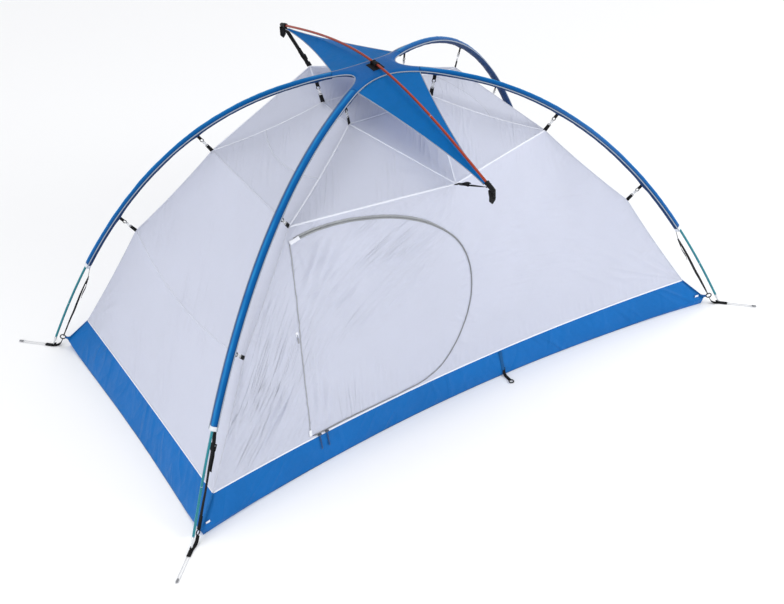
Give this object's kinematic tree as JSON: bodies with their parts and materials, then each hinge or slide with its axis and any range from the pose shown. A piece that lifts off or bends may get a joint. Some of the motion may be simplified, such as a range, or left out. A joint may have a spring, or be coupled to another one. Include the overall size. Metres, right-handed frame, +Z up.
{
  "type": "dome tent",
  "caption": "Free-standing dome tent: crossed poles in fabric sleeves, a ridge pole over wings, a clip-hung canopy with a zipped D door on a tub floor.",
  "frame": {"origin": "on the ground, under the crossing of the main poles", "axes": "+X along the tent's length, +Z up, the door on the -Y side"},
  "size_m": [2.5144, 1.473, 1.157],
  "materials": {
    "main_pole": "satin blue-green anodised tube",
    "ridge_pole": "satin orange anodised tube",
    "blue_fabric": "coated nylon taffeta",
    "tub_fabric": "coated nylon, waterproof",
    "canopy_fabric": "thin translucent white ripstop nylon",
    "webbing": "black woven polyester webbing",
    "black_plastic": "moulded black acetal",
    "clip_plastic": "moulded black acetal and webbing",
    "zip_tape": "grey coil zip tape",
    "slider_metal": "painted zinc",
    "pull_cord": "braided cord",
    "guy_cord": "braided white cord",
    "toggle_plastic": "moulded grey plastic"
  },
  "bodies": {
    "tent": {"main_pole_a": "main_pole", "main_pole_b": "main_pole", "ridge_pole": "ridge_pole", "hub_web": "blue_fabric", "hub_keeper": "black_plastic", "ridge_cap_front": "black_plastic", "wing_front": "blue_fabric", "ridge_strap_front": "webbing", "ridge_buckle_front": "black_plastic", "canopy_eave_front": "canopy_fabric", "canopy_wall_front": "canopy_fabric", "stake_loop_front": "webbing", "ridge_cap_back": "black_plastic", "wing_back": "blue_fabric", "ridge_strap_back": "webbing", "ridge_buckle_back": "black_plastic", "canopy_eave_back": "canopy_fabric", "canopy_wall_back": "canopy_fabric", "stake_loop_back": "webbing", "canopy_wall_left": "canopy_fabric", "canopy_wall_right": "canopy_fabric", "canopy_roof": "canopy_fabric", "tub_floor": "tub_fabric", "zip_tape_wall": "zip_tape", "sleeve_front_left": "blue_fabric", "corner_strap_front_left": "webbing", "corner_buckle_front_left": "black_plastic", "guy_cord_front_left": "guy_cord", "clip_top_front_left": "clip_plastic", "clip_middle_front_left": "clip_plastic", "clip_low_front_left": "clip_plastic", "sleeve_front_right": "blue_fabric", "corner_strap_front_right": "webbing", "corner_buckle_front_right": "black_plastic", "guy_cord_front_right": "guy_cord", "clip_top_front_right": "clip_plastic", "clip_middle_front_right": "clip_plastic", "clip_low_front_right": "clip_plastic", "sleeve_back_left": "blue_fabric", "corner_strap_back_left": "webbing", "corner_buckle_back_left": "black_plastic", "guy_cord_back_left": "guy_cord", "clip_top_back_left": "clip_plastic", "clip_middle_back_left": "clip_plastic", "clip_low_back_left": "clip_plastic", "sleeve_back_right": "blue_fabric", "corner_strap_back_right": "webbing", "corner_buckle_back_right": "black_plastic", "guy_cord_back_right": "guy_cord", "clip_top_back_right": "clip_plastic", "clip_middle_back_right": "clip_plastic", "clip_low_back_right": "clip_plastic"},
    "door_panel": {"door": "canopy_fabric", "zip_tape_door": "zip_tape"},
    "slider_left": {"zip_slider_left": "slider_metal"},
    "slider_right": {"zip_slider_right": "slider_metal"},
    "pull_left": {"zip_pull_left": "pull_cord"},
    "pull_right": {"zip_pull_right": "pull_cord"},
    "toggle": {"door_tie_toggle": "toggle_plastic"}
  },
  "joints": [
    {"name": "door_hinge", "type": "hinge", "parent": "tent", "child": "door_panel", "pos_m": [-0.624, -0.51466, 0.129], "axis": [-0.1266, -0.2946, -0.9472], "range_deg": [0, 115]},
    {"name": "zip_slider_right_travel", "type": "slide", "parent": "tent", "child": "slider_right", "axis": [0.9987, 0.0519, 0], "range_m": [0, 0.25]},
    {"name": "zip_slider_left_travel", "type": "slide", "parent": "tent", "child": "slider_left", "axis": [-0.9987, -0.0519, 0], "range_m": [0, 0.012]},
    {"name": "zip_pull_right_swing", "type": "hinge", "parent": "slider_right", "child": "pull_right", "pos_m": [-0.56, -0.51192, 0.1186], "axis": [-1, 0, 0], "range_deg": [0, 80]},
    {"name": "zip_pull_left_swing", "type": "hinge", "parent": "slider_left", "child": "pull_left", "pos_m": [-0.59, -0.51399, 0.1186], "axis": [-1, 0, 0], "range_deg": [0, 80]},
    {"name": "tie_toggle_swing", "type": "hinge", "parent": "tent", "child": "toggle", "pos_m": [-0.586, -0.40823, 0.487], "axis": [-1, 0, 0], "range_deg": [0, 60]}
  ]
}
